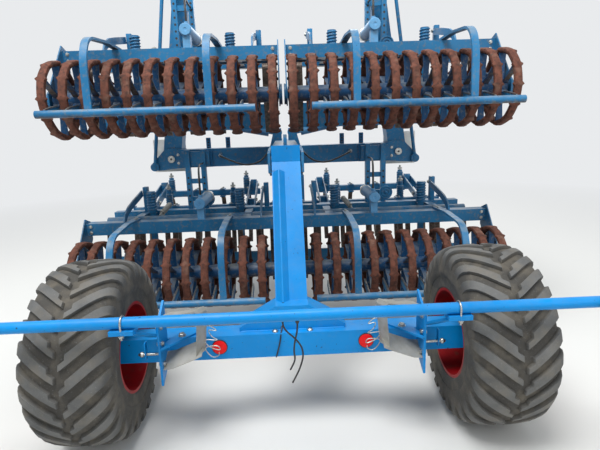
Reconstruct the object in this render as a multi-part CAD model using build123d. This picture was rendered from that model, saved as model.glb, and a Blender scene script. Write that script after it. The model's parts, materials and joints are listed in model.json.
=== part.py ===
from build123d import *
import os
from math import asin, atan2, cos, degrees, hypot, radians, sin, sqrt, tan

# Folding seedbed cultivator in transport position, millimetres.
# X runs across the machine, +Y is the direction of travel, +Z is up, the wheels stand on Z = 0.
# Four like modules hang from a central spine: two inner ones on the cross beam, and two outer ones
# on wing arms that swing about pins at the ends of the cross beam. A levelling link beside each arm
# keeps its module upright. All stations along Y are written as distances in front of the axle.

os.makedirs("parts", exist_ok=True)

# Wheels and axle
wheel_radius = 437
tyre_width = 375
tyre_shoulder = 60
rim_radius = 215
rim_wall = 8
rim_lip = 20
wheel_track = 1900
hub_radius = 85
axle_size = 120
axle_in_rim = 140
hub_gap = 8
stub_radius = 35
running_fit = 1.0

# Stations in front of the axle, and heights
light_bar_back = 430
light_bar_height = 750
scraper_station = 630
ring_station = 985
rear_beam_station = 1225
middle_tube_station = 1450
front_beam_station = 1700
cross_beam_station = 1880
hitch_station = 2960
swivel_reach = 75
inner_ring_height = 490
module_rise = 1190

# Cross beam, whose height carries the spine and the wings
cross_beam_size = 150
cross_beam_height = 1235
cross_beam_half = 860

# Central spine, neck and running-gear column
spine_width = 160
spine_height = 200
spine_lap = 50
spine_end = 2250
spine_tail = 140
spine_top = cross_beam_height + cross_beam_size / 2 + spine_lap
plate = 15
column_width = 160
column_depth = 120
column_hinge_station = 520
column_hinge_drop = 80
column_hinge_height = spine_top - column_hinge_drop
column_foot_station = 40
column_boss = 90
gusset_reach = 180
gusset_rise = 124
gusset_edge = 20
gear_eye_back = 25
gear_eye_drop = 280
gear_base_station = 1560
gear_base_drop = 145
gear_barrel_radius = 48
gear_rod_radius = 28
gear_barrel_length = 720
hinge_pin = 30
side_gap = 6
neck_depth = 180
neck_drop = 600
neck_low = spine_top - neck_drop
cover_width = 62
cover_rise = 18
cover_shift = -42
cover_wall = 3
cover_end = (130, 60)

# Wings
wing_pin_x = 960
wing_pin_radius = 25
arm_length = 1505
arm_root_radius = 75
arm_tip_radius = 62
link_offset = (140, -60)
link_width = 30
link_rod_radius = 17
link_eye_radius = 34
link_pin_radius = 15
fold_eye = (350, 150)
fold_base = (60, cross_beam_height + 190)
fold_barrel_radius = 45
fold_rod_radius = 25
fold_barrel_length = 650
fold_pin_radius = 16

# Modules
module_x = 750
ring_count = 12
ring_pitch = 125
ring_radius = 250
ring_rim = 34
ring_width = 60
ring_facets = 12
roller_tube = 45
roller_stub = 24
spoke_width = 46
spoke_thick = 10
end_plate_in = 722
end_plate = 8
beam_rise = 292
rear_beam = 88
front_beam = 80
bearing_radius = 66
bearing_length = 14
beam_peak = 35
scraper_arm_x = (-320, 370)
scraper_arm_width = 42
middle_tube = 38
rail_x = 430
rail_size = 60
mast_half = 85
mast_bar = 40
mast_depth = 45
rung_pitch = 150
scraper_tube = 22.5
scraper_drop = 95
scraper_inner = 165
scraper_blade = 8
blade_width = 40
tine_pitch = 250
tine_rows = ((0, 6, "middle"), (125, 5, "front"))
tine_width = 40
tine_thick = 14
board_height = 190
board_station = 1590
spring_radius = 34
spring_x = 360
spring_height = 170
lift_radius = 42
lift_x = 110
lift_rise = 160

# Hitch and stand
crossbar_half = 480
hitch_drop = 200
hitch_height = neck_low - hitch_drop
hitch_pin_radius = 18.3
hitch_pin_length = 110
swivel_radius = 32
swivel_housing = 58
stand_station = 2600
stand_x = 135
stand_leg = 70
stand_wall = 6
stand_foot = 260
stand_gap = 0.3
stand_top = neck_low + 280
sleeve_wall = 8
sleeve_height = (neck_low - 80, neck_low + 220)

# Light bar and its brackets
light_bar_radius = 23
light_bar_half = 1440
lamp_size = (200, 60, 100)
lamp_sink = 8
bracket_x = 600
bracket_plate = 10
bracket_reach = 130
pad_x = 658
pad_size = (94, 62, 18)
strap_width = 58
strap_thick = 10
foot_flat = 10

# Cables and hoses. Routes are (across, back, above) from the port's face, the cables' (across, ahead, drop).
light_cable = 7
gland_length = 6
hose = 15
hose_port = 18
cord_run_share = 0.45
light_cable_routes = (
    ((-38, 9, 0), (-38, 9, 20), (-22, 8, 44), (0, 7, 64), (22, 5, 88), (37, 4, 118), (38, 2, 152), (28, 2, 188),
     (13, 3, 224), (-8, 4, 264)),
    ((19, -9, 0), (19, -9, 26), (12, -10, 56), (4, -12, 90), (2, -12, 124), (6, -10, 152), (-2, -8, 176),
     (-15, -6, 200)))
beam_hose_route = ((130, 0, 55), (130, 50, 55), (142, 98, 40), (165, 130, 8), (200, 148, -24), (250, 154, -48),
                   (310, 158, -58), (370, 158, -48), (432, 154, -24), (490, 138, 0), (530, 100, 14),
                   (550, 50, 18), (550, 0, 18))
module_hose_route = ((-65, 0, 418), (-65, 70, 418), (-70, 150, 422), (-78, 236, 416), (-88, 312, 400),
                     (-98, 374, 372), (-106, 418, 330), (-110, 440, 276),
                     (-110, 440, lift_rise + lift_radius + hose_port))

front_reach = hitch_station + swivel_reach
rear_reach = light_bar_back + light_bar_radius + lamp_size[1] - lamp_sink
axle_y = -(front_reach - rear_reach) / 2
inner_hang = cross_beam_height + sqrt(arm_length**2 - (wing_pin_x - module_x) ** 2) - module_rise
outer_hang = inner_hang + module_rise
folded_angle = 90 + degrees(asin((wing_pin_x - module_x) / arm_length))
open_angle = degrees(asin((inner_hang - cross_beam_height) / arm_length))
ring_reach = (ring_count - 1) * ring_pitch / 2 + ring_width / 2


def y_at(station):
    return axle_y + station


def block(x0, x1, y0, y1, z0, z1):
    return Pos((x0 + x1) / 2, (y0 + y1) / 2, (z0 + z1) / 2) * Box(x1 - x0, y1 - y0, z1 - z0)


def rod_x(x0, x1, y, z, radius):
    return Pos((x0 + x1) / 2, y, z) * Rot(0, 90, 0) * Cylinder(radius, x1 - x0)


def rod_y(x, y0, y1, z, radius):
    return Pos(x, (y0 + y1) / 2, z) * Rot(90, 0, 0) * Cylinder(radius, y1 - y0)


def rod_z(x, y, z0, z1, radius):
    return Pos(x, y, (z0 + z1) / 2) * Cylinder(radius, z1 - z0)


def side_plate(points, x0, x1):
    """Flat plate with its outline in the YZ plane, from x0 to x1."""
    outline = make_face(Polyline(*[(x0, y, z) for y, z in points], close=True))
    return extrude(outline, amount=x1 - x0, dir=(1, 0, 0))


def cross_plate(points, y0, y1):
    """Flat plate with its outline in the XZ plane, from y0 to y1."""
    outline = make_face(Polyline(*[(x, y0, z) for x, z in points], close=True))
    return extrude(outline, amount=y1 - y0, dir=(0, 1, 0))


def bar(start, end, width, depth):
    """Straight bar between two points in one X plane, width across X."""
    (x, y0, z0), (_, y1, z1) = start, end
    length = hypot(y1 - y0, z1 - z0)
    turn = degrees(atan2(z1 - z0, y1 - y0))
    return Pos(x, (y0 + y1) / 2, (z0 + z1) / 2) * Rot(turn, 0, 0) * Box(width, length, depth)


def bent_flat(points, radii, width, depth):
    """Flat bar bent along a path in one X plane."""
    path = FilletPolyline(*points, radius=radii)
    start = Plane(origin=path @ 0, x_dir=(1, 0, 0), z_dir=path % 0)
    return sweep(start * Rectangle(width, depth), path=path)


def cylinder_between(start, end, radius):
    a, b = Vector(*start), Vector(*end)
    axis = Plane(origin=a, z_dir=(b - a))
    return extrude(axis * Circle(radius), amount=(b - a).length)


def fuse(pieces):
    first, *rest = pieces
    return first.fuse(*rest) if rest else first


def save(name, shape):
    export_step(shape, f"parts/{name}.step")


def wing_point(along, above, angle):
    """Point of the right wing arm at an angle above the outward horizontal."""
    turn = radians(angle)
    x = wing_pin_x + along * cos(turn) - above * sin(turn)
    z = cross_beam_height + along * sin(turn) + above * cos(turn)
    return x, z


def on_side(side, shape):
    return shape if side > 0 else mirror(shape, about=Plane.YZ)


# Running gear: axle, column, light bar and wheels

def axle_beam():
    half = wheel_track / 2 - tyre_width / 2 + axle_in_rim
    y = y_at(0)
    low, high = wheel_radius - axle_size / 2, wheel_radius + axle_size / 2
    beam = block(-half, half, y - axle_size / 2, y + axle_size / 2, low, high)
    reach = wheel_track / 2 + hub_radius
    stubs = [rod_x(min(s * half, s * reach), max(s * half, s * reach), y, wheel_radius, stub_radius)
             for s in (-1, 1)]
    return fuse([beam, *stubs])


def gear_column():
    """Sloping box column with side gussets at its foot and a folded cable cover on its rear face."""
    foot_y, foot_z = y_at(column_foot_station), wheel_radius + axle_size / 2
    top_y, top_z = y_at(column_hinge_station), column_hinge_height
    d = column_depth / 2
    half = column_width / 2
    shaft = side_plate([(foot_y - d, foot_z), (foot_y + d, foot_z), (top_y + d, top_z),
                        (top_y + d, top_z + column_boss * 0.6), (top_y - d, top_z + column_boss),
                        (top_y - d, top_z)], -half, half)
    gusset = cross_plate([(-gusset_reach - half, foot_z), (gusset_reach + half, foot_z),
                          (gusset_reach + half, foot_z + gusset_edge), (half, foot_z + gusset_rise),
                          (-half, foot_z + gusset_rise), (-gusset_reach - half, foot_z + gusset_edge)],
                         foot_y - d, foot_y + d)
    ear_y, ear_z = gear_eye()
    ears = [side_plate([(ear_y - 45, ear_z - 45), (ear_y + 40, ear_z - 40), (ear_y + 40, ear_z + 40),
                        (ear_y - 100, ear_z + 110)], min(s * 40, s * 55), max(s * 40, s * 55))
            for s in (-1, 1)]
    bore = rod_x(-half - 1, half + 1, top_y, top_z, hinge_pin + running_fit / 2)
    return fuse([shaft, gusset, *ears, cable_cover()]) - bore


def cable_cover():
    """Sheet folded to a shallow V and laid along the column's rear face."""
    low_y, low_z = y_at(column_foot_station) - column_depth / 2, wheel_radius + axle_size / 2
    high_y, high_z = y_at(column_hinge_station) - column_depth / 2, column_hinge_height
    length = hypot(high_y - low_y, high_z - low_z)
    along = Vector(0, (high_y - low_y) / length, (high_z - low_z) / length)
    start = Vector(cover_shift, low_y, low_z) + along * cover_end[0]
    w = cover_width / 2
    outline = Polyline((-w, 0), (0, cover_rise), (w, 0), (w - cover_wall * 2, 0),
                       (0, cover_rise - cover_wall), (-w + cover_wall * 2, 0), close=True)
    section = Plane(origin=start, x_dir=(-1, 0, 0), z_dir=along) * make_face(outline)
    return extrude(section, amount=length - cover_end[0] - cover_end[1])


def gear_eye():
    return y_at(column_hinge_station - gear_eye_back), column_hinge_height - gear_eye_drop


def gear_base():
    return y_at(gear_base_station), spine_top - spine_height - gear_base_drop


def light_bar():
    y = y_at(-light_bar_back)
    parts = [rod_x(-light_bar_half, light_bar_half, y, light_bar_height, light_bar_radius)]
    w, d, h = lamp_size
    for s in (-1, 1):
        x = s * (light_bar_half - w / 2)
        parts.append(Pos(x, y - light_bar_radius - d / 2 + lamp_sink, light_bar_height) * Box(w, d, h))
    return fuse(parts + light_glands())


def bar_brackets():
    """On each side a pointed plate behind the axle, a flat that ties it to the axle's top, and a strap
    up to the pad under the light bar."""
    face, z, top = y_at(0) - axle_size / 2, wheel_radius, wheel_radius + axle_size / 2
    bar_y = y_at(-light_bar_back)
    under = light_bar_height - light_bar_radius
    edge = face - bracket_reach
    w, d, h = pad_size
    parts = []
    for s in (-1, 1):
        x0, x1 = sorted((s * bracket_x, s * (bracket_x + bracket_plate)))
        upright = side_plate([(face, z - 45), (face, under - 33), (edge, under - 110), (edge, z - 110)], x0, x1)
        tie = Plane.XY.offset(top) * make_face(Polyline(
            (s * (bracket_x + 2), edge), (s * (bracket_x + 2), edge + 65), (s * (bracket_x - 70), face + 90),
            (s * (bracket_x - 135), face + 90), (s * (bracket_x - 135), face + 40), close=True))
        strap_x = s * (bracket_x + bracket_plate + strap_width / 2 - 2)
        strap = bar((strap_x, edge + 90, under - 195), (strap_x, bar_y - 5, under - h), strap_width, strap_thick)
        pad = block(s * pad_x - w / 2, s * pad_x + w / 2, bar_y - d / 2, bar_y + d / 2, under - h, under)
        parts.append(fuse([upright, extrude(tie, amount=foot_flat, dir=(0, 0, 1)), strap, pad]))
    return parts


def wheel_rim(side):
    x = side * wheel_track / 2
    half = tyre_width / 2 - 15
    y = y_at(0)
    shell = rod_x(x - half, x + half, y, wheel_radius, rim_radius)
    disc_x = x + side * 40
    outer = rod_x(*sorted((disc_x + side * rim_wall, x + side * (half + 1))), y, wheel_radius,
                  rim_radius - rim_wall)
    inner = rod_x(*sorted((disc_x - side * rim_wall, x - side * (half + 1))), y, wheel_radius,
                  rim_radius - rim_wall)
    hub = rod_x(*sorted((x - side * 20, x + side * (hub_radius + 30))), y, wheel_radius, hub_radius)
    reach = wheel_track / 2 + hub_radius
    bore = rod_x(*sorted((x - side * 21, side * reach + side * hub_gap)), y, wheel_radius,
                 stub_radius + running_fit)
    lips = []
    for face in (-1, 1):
        lips.append(rod_x(*sorted((x + face * half, x + face * (half - rim_wall))), y, wheel_radius,
                          rim_radius + rim_lip)
                    - rod_x(*sorted((x + face * (half + 1), x + face * (half - rim_wall - 1))), y, wheel_radius,
                            rim_radius - rim_wall))
    return fuse([shell - outer - inner, hub, *lips]) - bore


def tyre(side):
    x = side * wheel_track / 2
    half = tyre_width / 2
    bead = half - 15 - rim_wall
    shoulder = wheel_radius - tyre_shoulder
    profile = Polyline((-bead, rim_radius), (-bead, rim_radius + rim_lip), (-half, rim_radius + 70),
                       (-half, shoulder), (-half + 25, wheel_radius - 18), (-half + 70, wheel_radius),
                       (half - 70, wheel_radius), (half - 25, wheel_radius - 18), (half, shoulder),
                       (half, rim_radius + 70), (bead, rim_radius + rim_lip), (bead, rim_radius), close=True)
    ring = revolve(make_face(profile), axis=Axis.X, revolution_arc=360)
    return Pos(x, y_at(0), wheel_radius) * ring


# Spine, neck, hitch and stand

def spine():
    half = spine_width / 2
    low = spine_top - spine_height
    back, front = y_at(column_hinge_station + spine_tail), y_at(spine_end)
    box = block(-half, half, back, front, low, spine_top)
    hinge_y, hinge_z = y_at(column_hinge_station), column_hinge_height
    parts = [box]
    for s in (-1, 1):
        x0, x1 = sorted((s * (half + side_gap), s * (half + side_gap + plate)))
        parts.append(side_plate([(hinge_y - 60, hinge_z - 60), (hinge_y + 60, hinge_z - 75),
                                 (back + 160, low + 10), (back + 160, spine_top - 10),
                                 (hinge_y + 40, hinge_z + 62), (hinge_y - 60, hinge_z + 50)], x0, x1))
        parts.append(block(min(s * half, x0), max(s * half, x1), back + 30, back + 150, low + 20,
                           spine_top - 20))
    parts.append(rod_x(-half - side_gap - plate, half + side_gap + plate, hinge_y, hinge_z, hinge_pin))
    base_y, base_z = gear_base()
    for s in (-1, 1):
        x0, x1 = sorted((s * 52, s * 67))
        parts.append(side_plate([(base_y - 90, low), (base_y + 60, low), (base_y + 32, base_z - 34),
                                 (base_y - 32, base_z - 34)], x0, x1))
    parts.append(rod_x(-67, 67, base_y, base_z, hinge_pin * 0.6))
    beam_y, h = y_at(cross_beam_station), cross_beam_size / 2
    saddle = block(-half - 1, half + 1, beam_y - h, beam_y + h, cross_beam_height - h, cross_beam_height + h)
    return fuse(parts) - saddle


def neck():
    half = spine_width / 2
    y0, y1 = y_at(spine_end), y_at(hitch_station)
    low = spine_top - spine_height
    beam = side_plate([(y0, low), (y0, spine_top), (y0 + 110, spine_top), (y1 - 55, neck_low + 60),
                       (y1 - 55, neck_low - neck_depth), (y1 - 140, neck_low - neck_depth)], -half, half)
    tube = rod_z(0, y1, neck_low - neck_depth - 10, neck_low + 70, swivel_housing)
    bore = rod_z(0, y1, neck_low - neck_depth - 20, neck_low + 80, swivel_radius + running_fit / 2)
    return beam + tube - bore + stand_sleeve()


def stand_sleeve_hole():
    reach = stand_leg / 2 + stand_gap
    y = y_at(stand_station)
    return block(stand_x - reach, stand_x + reach, y - reach, y + reach, 0, stand_top)


def stand_sleeve():
    reach = stand_leg / 2 + stand_gap + sleeve_wall
    y = y_at(stand_station)
    sleeve = block(spine_width / 2 - 4, stand_x + reach, y - reach, y + reach, *sleeve_height)
    return sleeve - stand_sleeve_hole()


def parking_stand():
    y = y_at(stand_station)
    r = stand_leg / 2
    leg = block(stand_x - r, stand_x + r, y - r, y + r, plate, stand_top)
    inside = block(stand_x - r + stand_wall, stand_x + r - stand_wall, y - r + stand_wall,
                   y + r - stand_wall, plate + 20, stand_top + 1)
    f = stand_foot / 2
    return leg - inside + block(stand_x - f, stand_x + f, y - f, y + f, 0, plate)


def hitch_crossbar():
    y = y_at(hitch_station)
    low = neck_low - neck_depth - 10
    pin = rod_z(0, y, hitch_height - 60, neck_low + 95, swivel_radius)
    head = rod_z(0, y, neck_low + 75, neck_low + 95, swivel_radius + 20)
    block_low = block(-110, 110, y - 70, y + swivel_reach, hitch_height - 75, low - side_gap)
    beam = block(-crossbar_half, crossbar_half, y - 45, y + 45, hitch_height - 45, hitch_height + 45 - 40)
    parts = [pin, head, block_low, beam]
    for s in (-1, 1):
        x0, x1 = sorted((s * crossbar_half, s * (crossbar_half + hitch_pin_length)))
        parts.append(rod_x(x0, x1, y, hitch_height - 20, hitch_pin_radius))
    return fuse(parts)


# Cross beam with the wing ears, and the wings

def cross_beam():
    y, z = y_at(cross_beam_station), cross_beam_height
    half = cross_beam_size / 2
    parts = [block(-cross_beam_half, cross_beam_half, y - half, y + half, z - half, z + half)]
    for s in (-1, 1):
        for face in (-1, 1):
            y0, y1 = sorted((y + face * half, y + face * (half + plate)))
            lx, lz = wing_pin_x + link_offset[0], z + link_offset[1]
            parts.append(cross_plate([
                (s * (cross_beam_half - 240), z - half), (s * cross_beam_half, z - half), (s * (lx - 20), lz - 34),
                (s * (lx + 30), lz - 22), (s * (lx + 34), lz + 20), (s * (wing_pin_x + 45), z + half + 15),
                (s * (wing_pin_x - 45), z + half + 15), (s * cross_beam_half, z + half),
                (s * (cross_beam_half - 240), z + half)], y0, y1))
        parts.append(rod_y(s * wing_pin_x, y - half - plate - 12, y + half + plate + 12, z, wing_pin_radius))
        rear = y - half - plate
        parts.append(rod_y(s * lx, rear - link_width - 12, rear, lz, link_pin_radius))
        bx, bz = fold_base
        for face in (-1, 1):
            y0, y1 = sorted((y + face * 32, y + face * 44))
            parts.append(cross_plate([(s * (bx - 34), z + half), (s * (bx + 70), z + half),
                                      (s * (bx + 30), bz + 34), (s * (bx - 30), bz + 34)], y0, y1))
        parts.append(rod_y(s * bx, y - 44, y + 44, bz, fold_pin_radius))
    strap = block(-spine_width / 2, spine_width / 2, y - half, y + half, z + half, spine_top)
    return fuse(parts + beam_hose_ports()) - strap


def wing_arm(side):
    y = y_at(cross_beam_station)
    slab = cross_beam_size / 2 - 5
    root = Vector(wing_pin_x, cross_beam_height)
    tx, tz = wing_point(arm_length, 0, folded_angle)
    pieces = []
    for x, z, r in ((root.X, root.Y, arm_root_radius), (tx, tz, arm_tip_radius)):
        pieces.append(rod_y(x, y - slab, y + slab, z, r))
    corners = [wing_point(0, arm_root_radius, folded_angle), wing_point(0, -arm_root_radius, folded_angle),
               wing_point(arm_length, -arm_tip_radius, folded_angle),
               wing_point(arm_length, arm_tip_radius, folded_angle)]
    pieces.append(cross_plate(corners, y - slab, y + slab))
    u, v = fold_eye
    for face in (-1, 1):
        y0, y1 = sorted((y + face * 34, y + face * 48))
        pieces.append(cross_plate([wing_point(u - 90, 30, folded_angle), wing_point(u + 90, 30, folded_angle),
                                   wing_point(u + 34, v + 30, folded_angle),
                                   wing_point(u - 34, v + 30, folded_angle)], y0, y1))
    rear = y_at(front_beam_station) - 5
    pieces.append(rod_y(tx, rear, y, tz, wing_pin_radius))
    arm = fuse(pieces) - rod_y(wing_pin_x, y - slab - 1, y + slab + 1, cross_beam_height,
                               wing_pin_radius + running_fit / 2)
    return on_side(side, arm)


def level_link(side):
    y1 = y_at(cross_beam_station) - cross_beam_size / 2 - plate - 5
    y0 = y1 - link_width
    ex, ez = link_offset
    tx, tz = wing_point(arm_length, 0, folded_angle)
    low = (wing_pin_x + ex, cross_beam_height + ez)
    high = (tx + ex, tz + ez)
    mid = (y0 + y1) / 2
    rod = cylinder_between((low[0], mid, low[1]), (high[0], mid, high[1]), link_rod_radius - 3)
    eyes = [rod_y(x, y0, y1, z, link_eye_radius) for x, z in (low, high)]
    bores = [rod_y(x, y0 - 1, y1 + 1, z, link_pin_radius + running_fit / 2) for x, z in (low, high)]
    return on_side(side, fuse([rod, *eyes]) - bores[0] - bores[1])


def fold_ends():
    """Base pin and rod eye of the right fold cylinder when folded."""
    ex, ez = wing_point(*fold_eye, folded_angle)
    return fold_base, (ex, ez)


def fold_cylinder(side):
    y = y_at(cross_beam_station)
    (bx, bz), (ex, ez) = fold_ends()
    length = hypot(ex - bx, ez - bz)
    ux, uz = (ex - bx) / length, (ez - bz) / length

    def at(distance):
        return (bx + ux * distance, y, bz + uz * distance)

    barrel = cylinder_between(at(75), at(fold_barrel_length), fold_barrel_radius)
    barrel += cylinder_between(at(0), at(80), 24)
    base_eye = rod_y(bx, y - 26, y + 26, bz, fold_barrel_radius - 8)
    bore = cylinder_between(at(100), at(fold_barrel_length + 1), fold_rod_radius + 0.5)
    barrel = barrel + base_eye - bore
    barrel -= rod_y(bx, y - 27, y + 27, bz, fold_pin_radius + running_fit / 2)
    rod = cylinder_between(at(106), at(length - 20), fold_rod_radius)
    eye = rod_y(ex, y - 26, y + 26, ez, 34)
    return on_side(side, barrel), on_side(side, rod + eye)


def gear_cylinder():
    (by, bz), (ey, ez) = gear_base(), gear_eye()
    length = hypot(ey - by, ez - bz)
    uy, uz = (ey - by) / length, (ez - bz) / length

    def at(distance):
        return (0, by + uy * distance, bz + uz * distance)

    barrel = cylinder_between(at(28), at(gear_barrel_length), gear_barrel_radius)
    barrel += rod_x(-44, 44, by, bz, 36)
    barrel -= cylinder_between(at(260), at(gear_barrel_length + 1), gear_rod_radius + running_fit / 2)
    barrel -= rod_x(-45, 45, by, bz, hinge_pin * 0.6 + running_fit / 2)
    rod = cylinder_between(at(280), at(length - 20), gear_rod_radius) + rod_x(-33, 33, ey, ez, 34)
    return barrel, rod


# Modules

def ring_roller(ring_z):
    """Twelve ring hoops on spokes around one tube, with stub shafts in the end plates."""
    y = y_at(ring_station)
    base = Plane(origin=(0, 0, 0), x_dir=(0, 1, 0), z_dir=(1, 0, 0))
    outline = RegularPolygon(ring_radius, ring_facets)
    hole = RegularPolygon(ring_radius - ring_rim, ring_facets)
    hoop = extrude(base * (outline - hole), amount=ring_width / 2, both=True)
    spoke = Box(spoke_thick, 2 * (ring_radius - ring_rim) - 12, spoke_width)
    spokes = fuse([Rot(30 + 60 * i, 0, 0) * spoke for i in range(3)])
    hoop = hoop + spokes
    hoops = []
    for i in range(ring_count):
        hoops.append(Pos((i - (ring_count - 1) / 2) * ring_pitch, 0, 0) * hoop)
    shaft = rod_x(-ring_reach, ring_reach, 0, 0, roller_tube)
    reach = end_plate_in + end_plate + bearing_length - 2
    stub = rod_x(-reach, reach, 0, 0, roller_stub)
    return Pos(0, y, ring_z) * fuse([shaft, stub, *hoops])


def end_plates(ring_z):
    """Side plates with a pointed top that carry the roller's flanged bearings from the rear beam."""
    y, by = y_at(ring_station), y_at(rear_beam_station)
    beam_z = ring_z + beam_rise
    h = rear_beam / 2
    plates = []
    for s in (-1, 1):
        inner, outer = s * end_plate_in, s * (end_plate_in + end_plate)
        flat = side_plate([(by - h, beam_z + h + beam_peak), (by + h, beam_z + h), (by + h, beam_z - h - 40),
                           (y + 75, ring_z - 50), (y + 30, ring_z - 75), (y - 30, ring_z - 75),
                           (y - 72, ring_z - 30), (y - 72, ring_z + 40)], *sorted((inner, outer)))
        flange = rod_x(*sorted((outer, outer + s * bearing_length)), y, ring_z, bearing_radius)
        bore = rod_x(*sorted((inner - s, outer + s * (bearing_length + 1))), y, ring_z,
                     roller_stub + running_fit)
        plates.append(flat + flange - bore)
    return plates


def module_frame(ring_z, outer):
    """Beams, rails, end plates and mast. The mast's foot stands on the front beam."""
    beam_z = ring_z + beam_rise
    yr, ym, yf = y_at(rear_beam_station), y_at(middle_tube_station), y_at(front_beam_station)
    r, f = rear_beam / 2, front_beam / 2
    reach = end_plate_in
    parts = [block(-reach, reach, yr - r, yr + r, beam_z - r, beam_z + r),
             block(-reach + 30, reach - 30, yf - f, yf + f, beam_z - f, beam_z + f),
             rod_x(-reach + 60, reach - 60, ym, beam_z, middle_tube)]
    for s in (-1, 1):
        parts.append(block(s * rail_x - rail_size / 2, s * rail_x + rail_size / 2, yr + r - 1, yf - f + 1,
                           beam_z - rail_size / 2, beam_z + rail_size / 2))
    parts += end_plates(ring_z)
    back, face = yf, yf + mast_depth
    top = outer_hang if outer else cross_beam_height + cross_beam_size / 2
    for s in (-1, 1):
        x0, x1 = sorted((s * mast_half, s * (mast_half - mast_bar)))
        parts.append(block(x0, x1, back, face, beam_z + f - 1, top - (40 if outer else 0)))
    rungs = int((top - beam_z - 200) / rung_pitch)
    for i in range(rungs):
        z = beam_z + 120 + i * rung_pitch
        parts.append(block(-mast_half, mast_half, back + 12, face - 12, z - 20, z + 20))
    if outer:
        ex, ez = link_offset
        parts.append(cross_plate([(-mast_half, top - 90), (mast_half, top - 90), (ex + 40, top + ez - 40),
                                  (ex + 45, top + ez + 30), (50, top + 70), (-50, top + 70),
                                  (-mast_half, top + 20)], back, face))
        parts.append(rod_y(ex, face, face + link_width + 20, top + ez, link_pin_radius))
    else:
        ear_face = y_at(cross_beam_station) - cross_beam_size / 2 - plate
        parts.append(block(-mast_half - 30, mast_half + 30, face - 15, ear_face, cross_beam_height - 60,
                           cross_beam_height + 60))
    parts.append(module_hose_ports(ring_z)[0])
    frame = fuse(parts)
    if outer:
        frame -= rod_y(0, back - 1, face + 1, top, wing_pin_radius + running_fit / 2)
    return frame


def scraper_bar(ring_z, inward):
    """Tube behind the roller on two bent arms, with one blade in each gap between rings."""
    y, z = y_at(scraper_station), ring_z - scraper_drop
    inner = module_x - scraper_inner
    ends = sorted((inward * inner, -inward * (end_plate_in - 50)))
    parts = [rod_x(ends[0], ends[1], y, z, scraper_tube)]
    by, bz = y_at(rear_beam_station), ring_z + beam_rise + rear_beam / 2 + 8
    for x in scraper_arm_x:
        path = [(x, by + 30, bz), (x, by - 200, bz + 10), (x, y + 75, ring_z + 330), (x, y + 12, ring_z + 190),
                (x, y, z)]
        parts.append(bent_flat(path, [300, 140, 250], scraper_arm_width, 16))
    for i in range(ring_count - 1):
        x = (i - (ring_count - 2) / 2) * ring_pitch
        if ends[0] + 10 < x < ends[1] - 10:
            tip_y, tip_z = y_at(ring_station) - 175, ring_z - 60
            parts.append(bar((x, y, z), (x, tip_y, tip_z), scraper_blade, blade_width))
    return fuse(parts)


def tine(x, y, top_z, tip_z):
    """Sprung tine: a flat bar looped back under its beam with the point forward."""
    drop = top_z - tip_z
    path = [(x, y, top_z), (x, y - 95, top_z - 10), (x, y - 125, top_z - drop * 0.4),
            (x, y - 40, top_z - drop * 0.72), (x, y + 25, tip_z)]
    return bent_flat(path, 38, tine_width, tine_thick)


def tines(ring_z):
    beam_z = ring_z + beam_rise
    seats = {"middle": (y_at(middle_tube_station), beam_z - middle_tube - tine_thick / 2),
             "front": (y_at(front_beam_station), beam_z - front_beam / 2 - tine_thick / 2)}
    parts = []
    for shift, count, beam in tine_rows:
        y, z = seats[beam]
        for i in range(count):
            x = (i - (count - 1) / 2) * tine_pitch
            parts.append(tine(x, y, z, ring_z - ring_radius + 6))
    return parts


def board(ring_z):
    """Levelling board ahead of the tines, on two arms with coil springs above."""
    y = y_at(board_station)
    beam_z = ring_z + beam_rise
    low = ring_z - ring_radius + 30
    parts = [block(-end_plate_in + 40, end_plate_in - 40, y - 5, y + 5, low, low + board_height)]
    yf = y_at(front_beam_station) - front_beam / 2
    for s in (-1, 1):
        parts.append(block(s * spring_x - 25, s * spring_x + 25, y + 5, y + 21, low + 40, beam_z + 40))
        parts.append(block(s * spring_x - 25, s * spring_x + 25, y + 21, yf, beam_z - 30, beam_z + 30))
        top = beam_z + 40
        parts.append(rod_z(s * spring_x, y + 20, top, top + spring_height, spring_radius))
    return fuse(parts)


def lift_cylinder(ring_z, inward):
    """Levelling cylinder of a module, lying along Y from the rear beam to the mast."""
    z = ring_z + beam_rise + lift_rise
    x = -inward * -lift_x
    y0, y1 = y_at(rear_beam_station), y_at(front_beam_station)
    barrel = rod_y(x, y0 - 40, y0 + 330, z, lift_radius)
    rod = rod_y(x, y0 + 320, y1, z, 22)
    foot = block(x - 25, x + 25, y0 - 30, y0 + 30, ring_z + beam_rise + rear_beam / 2, z)
    return fuse([barrel, rod, foot, module_hose_ports(ring_z)[1]])


# Cables and hoses

def cord_tube(points, diameter):
    """Plain tube of a free cord, with each bend as wide as its two runs allow."""
    path_points = [Vector(*p) for p in points]
    radii = []
    for before, here, after in zip(path_points, path_points[1:], path_points[2:]):
        turn = radians((here - before).get_angle(after - here))
        run = min((here - before).length, (after - here).length)
        radii.append(cord_run_share * run / tan(turn / 2))
    route = FilletPolyline(*path_points, radius=radii)
    start = Plane(origin=route @ 0, z_dir=route % 0)
    print("cord radii", [round(r) for r in radii], "length", round(route.length))
    return sweep(start * Circle(diameter / 2), path=route)


def light_cables():
    """Two loose cables that hang out of glands in the light bar's underside, with bare ends."""
    y, gland = y_at(-light_bar_back), light_bar_height - light_bar_radius - gland_length
    return [cord_tube([(x, y + shift, gland - drop) for x, shift, drop in route], light_cable)
            for route in light_cable_routes]


def light_glands():
    y, under = y_at(-light_bar_back), light_bar_height - light_bar_radius
    starts = [route[0] for route in light_cable_routes]
    return [rod_z(x, y + shift, under - gland_length, under + gland_length, light_cable) for x, shift, _ in starts]


def module_hose(ring_z):
    """Hose from the port on the mast over to the port on top of the levelling cylinder."""
    yf, z = y_at(front_beam_station) - hose_port, ring_z + beam_rise
    return cord_tube([(x, yf - back, z + rise) for x, back, rise in module_hose_route], hose)


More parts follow.
